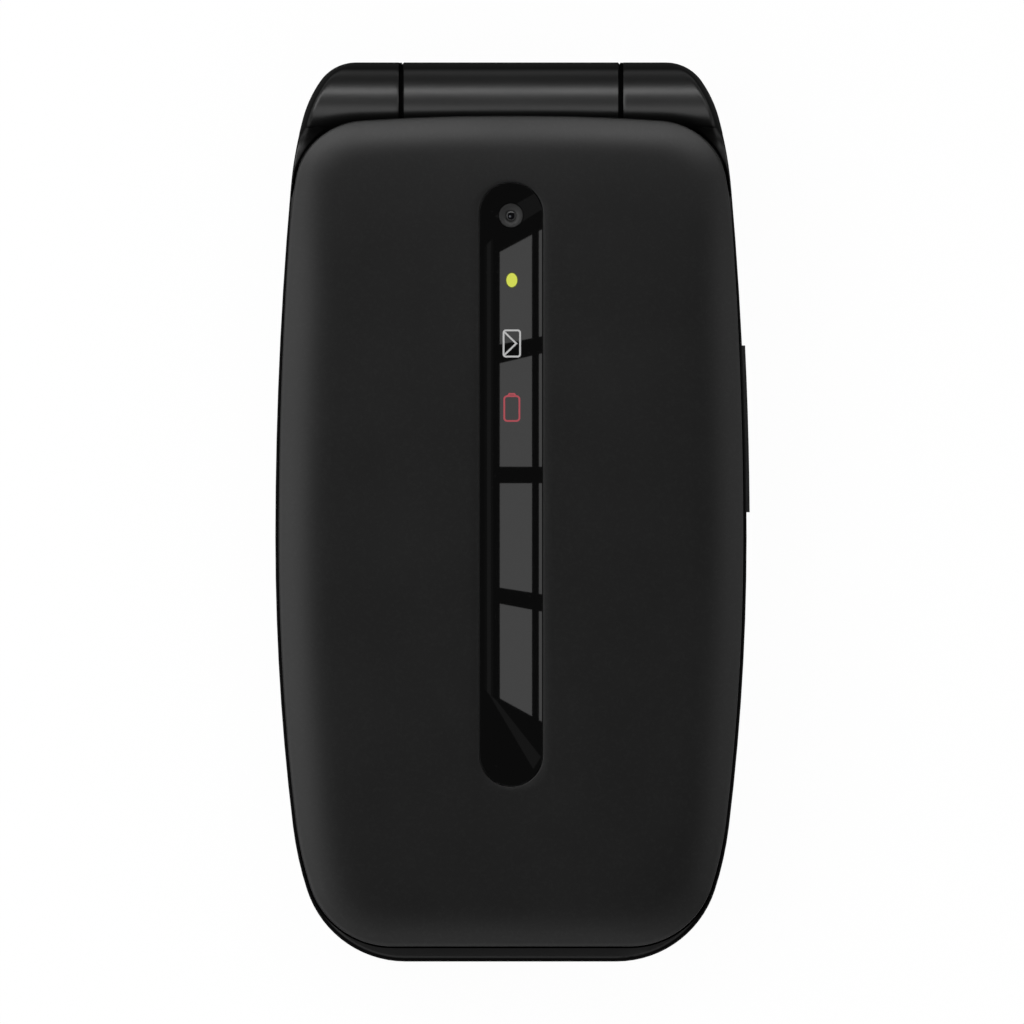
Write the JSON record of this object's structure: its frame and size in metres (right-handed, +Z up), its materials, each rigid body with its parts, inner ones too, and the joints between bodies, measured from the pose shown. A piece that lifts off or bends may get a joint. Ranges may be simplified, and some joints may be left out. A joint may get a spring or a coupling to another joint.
{
  "type": "flip phone",
  "caption": "Closed clamshell phone with a matte lid, a long gloss window with camera and lamps, a barrel hinge and a keypad half with rim, keys and removable back.",
  "frame": {"origin": "middle of the closed phone's footprint, on the surface its back lies on", "axes": "+X across the phone to the side with the volume key, +Y along it to the hinge, +Z up through its thickness to the lid"},
  "size_m": [0.056, 0.106, 0.02],
  "materials": {
    "case_plastic": "gloss black",
    "cover_plastic": "fine matte soft-touch black",
    "back_plastic": "satin black",
    "inner_plastic": "matte charcoal",
    "key_plastic": "soft gloss black keys with white print",
    "window_gloss": "polished black",
    "clear_glass": "dark clear",
    "board_green": "solder mask",
    "steel": "satin",
    "film": "clear film with metal domes",
    "cell": "cell can in a printed sleeve",
    "display_black": "display module",
    "flex": "amber polyimide",
    "brass_gold": "gold plated contacts",
    "lamp": "lit lamp",
    "guide": "clear light guide",
    "rubber_black": "matte",
    "mesh": "woven dust screen",
    "magnet": "plated",
    "camera_black": "camera module"
  },
  "bodies": {
    "base": {"rear_case": "back_plastic", "front_case": "case_plastic", "battery": "cell", "battery_contacts": "brass_gold", "card_sockets": "steel", "main_board": "board_green", "dome_sheet": "film", "shield_cans": "steel", "loudspeaker": "camera_black", "antenna": "inner_plastic", "vibration_motor": "steel", "microphone": "steel", "usb_socket": "steel", "headset_jack": "inner_plastic", "case_screws": "steel", "volume_switch": "inner_plastic", "base_flex": "flex", "hinge_shaft": "steel"},
    "lid": {"lid_cover": "cover_plastic", "lid_frame": "case_plastic", "outer_window": "window_gloss", "camera_ring": "camera_black", "camera_module": "camera_black", "indicator_lamps": "lamp", "light_guide": "guide", "lid_board": "board_green", "display_panel": "display_black", "display_window": "clear_glass", "earpiece": "steel", "earpiece_mesh": "mesh", "lid_magnet": "magnet", "lid_screws": "steel", "lid_bumpers": "rubber_black", "lid_flex": "flex", "hinge_can": "steel", "hinge_follower": "steel", "hinge_spring": "steel", "hinge_bush": "inner_plastic", "hinge_barrel": "case_plastic"},
    "battery_cover": {"battery_cover": "back_plastic"},
    "volume_key": {"volume_key": "case_plastic"},
    "nav_pad": {"nav_pad": "rubber_black"},
    "nav_ring": {"nav_ring": "key_plastic"},
    "key_ok": {"key_ok": "key_plastic"},
    "key_1": {"key_1": "key_plastic"},
    "key_2": {"key_2": "key_plastic"},
    "key_3": {"key_3": "key_plastic"},
    "key_4": {"key_4": "key_plastic"},
    "key_5": {"key_5": "key_plastic"},
    "key_6": {"key_6": "key_plastic"},
    "key_7": {"key_7": "key_plastic"},
    "key_8": {"key_8": "key_plastic"},
    "key_9": {"key_9": "key_plastic"},
    "key_star": {"key_star": "key_plastic"},
    "key_0": {"key_0": "key_plastic"},
    "key_hash": {"key_hash": "key_plastic"},
    "key_left_soft": {"key_left_soft": "key_plastic"},
    "key_right_soft": {"key_right_soft": "key_plastic"},
    "key_call": {"key_call": "key_plastic"},
    "key_end": {"key_end": "key_plastic"}
  },
  "joints": [
    {"name": "lid_hinge", "type": "hinge", "parent": "base", "child": "lid", "pos_m": [0, 0.0488, 0.0144], "axis": [-1, 0, 0], "range_deg": [0, 160]},
    {"name": "battery_cover_release", "type": "slide", "parent": "base", "child": "battery_cover", "axis": [0, 0, -1], "range_m": [0, 0.03]},
    {"name": "volume_rock", "type": "hinge", "parent": "base", "child": "volume_key", "pos_m": [0.0266, 0.00985, 0.0064], "axis": [0, 0, 1], "range_deg": [-1.5, 1.5], "stiffness_Nm_per_rad": 0.6},
    {"name": "nav_rock_up_down", "type": "hinge", "parent": "base", "child": "nav_pad", "pos_m": [0, 0.0206, 0.0089], "axis": [1, 0, 0], "range_deg": [-1.2, 1.2], "stiffness_Nm_per_rad": 0.5},
    {"name": "nav_rock_left_right", "type": "hinge", "parent": "nav_pad", "child": "nav_ring", "pos_m": [0, 0.0206, 0.0089], "axis": [0, 1, 0], "range_deg": [-1.2, 1.2], "stiffness_Nm_per_rad": 0.5},
    {"name": "key_1_press", "type": "slide", "parent": "base", "child": "key_1", "axis": [0, 0, -1], "range_m": [0, 0.00025], "stiffness_N_per_m": 2000},
    {"name": "key_2_press", "type": "slide", "parent": "base", "child": "key_2", "axis": [0, 0, -1], "range_m": [0, 0.00025], "stiffness_N_per_m": 2000},
    {"name": "key_3_press", "type": "slide", "parent": "base", "child": "key_3", "axis": [0, 0, -1], "range_m": [0, 0.00025], "stiffness_N_per_m": 2000},
    {"name": "key_4_press", "type": "slide", "parent": "base", "child": "key_4", "axis": [0, 0, -1], "range_m": [0, 0.00025], "stiffness_N_per_m": 2000},
    {"name": "key_5_press", "type": "slide", "parent": "base", "child": "key_5", "axis": [0, 0, -1], "range_m": [0, 0.00025], "stiffness_N_per_m": 2000},
    {"name": "key_6_press", "type": "slide", "parent": "base", "child": "key_6", "axis": [0, 0, -1], "range_m": [0, 0.00025], "stiffness_N_per_m": 2000},
    {"name": "key_7_press", "type": "slide", "parent": "base", "child": "key_7", "axis": [0, 0, -1], "range_m": [0, 0.00025], "stiffness_N_per_m": 2000},
    {"name": "key_8_press", "type": "slide", "parent": "base", "child": "key_8", "axis": [0, 0, -1], "range_m": [0, 0.00025], "stiffness_N_per_m": 2000},
    {"name": "key_9_press", "type": "slide", "parent": "base", "child": "key_9", "axis": [0, 0, -1], "range_m": [0, 0.00025], "stiffness_N_per_m": 2000},
    {"name": "key_star_press", "type": "slide", "parent": "base", "child": "key_star", "axis": [0, 0, -1], "range_m": [0, 0.00025], "stiffness_N_per_m": 2000},
    {"name": "key_0_press", "type": "slide", "parent": "base", "child": "key_0", "axis": [0, 0, -1], "range_m": [0, 0.00025], "stiffness_N_per_m": 2000},
    {"name": "key_hash_press", "type": "slide", "parent": "base", "child": "key_hash", "axis": [0, 0, -1], "range_m": [0, 0.00025], "stiffness_N_per_m": 2000},
    {"name": "key_left_soft_press", "type": "slide", "parent": "base", "child": "key_left_soft", "axis": [0, 0, -1], "range_m": [0, 0.00025], "stiffness_N_per_m": 2000},
    {"name": "key_right_soft_press", "type": "slide", "parent": "base", "child": "key_right_soft", "axis": [0, 0, -1], "range_m": [0, 0.00025], "stiffness_N_per_m": 2000},
    {"name": "key_call_press", "type": "slide", "parent": "base", "child": "key_call", "axis": [0, 0, -1], "range_m": [0, 0.00025], "stiffness_N_per_m": 2000},
    {"name": "key_end_press", "type": "slide", "parent": "base", "child": "key_end", "axis": [0, 0, -1], "range_m": [0, 0.00025], "stiffness_N_per_m": 2000},
    {"name": "key_ok_press", "type": "slide", "parent": "base", "child": "key_ok", "axis": [0, 0, -1], "range_m": [0, 0.00025], "stiffness_N_per_m": 2000}
  ]
}
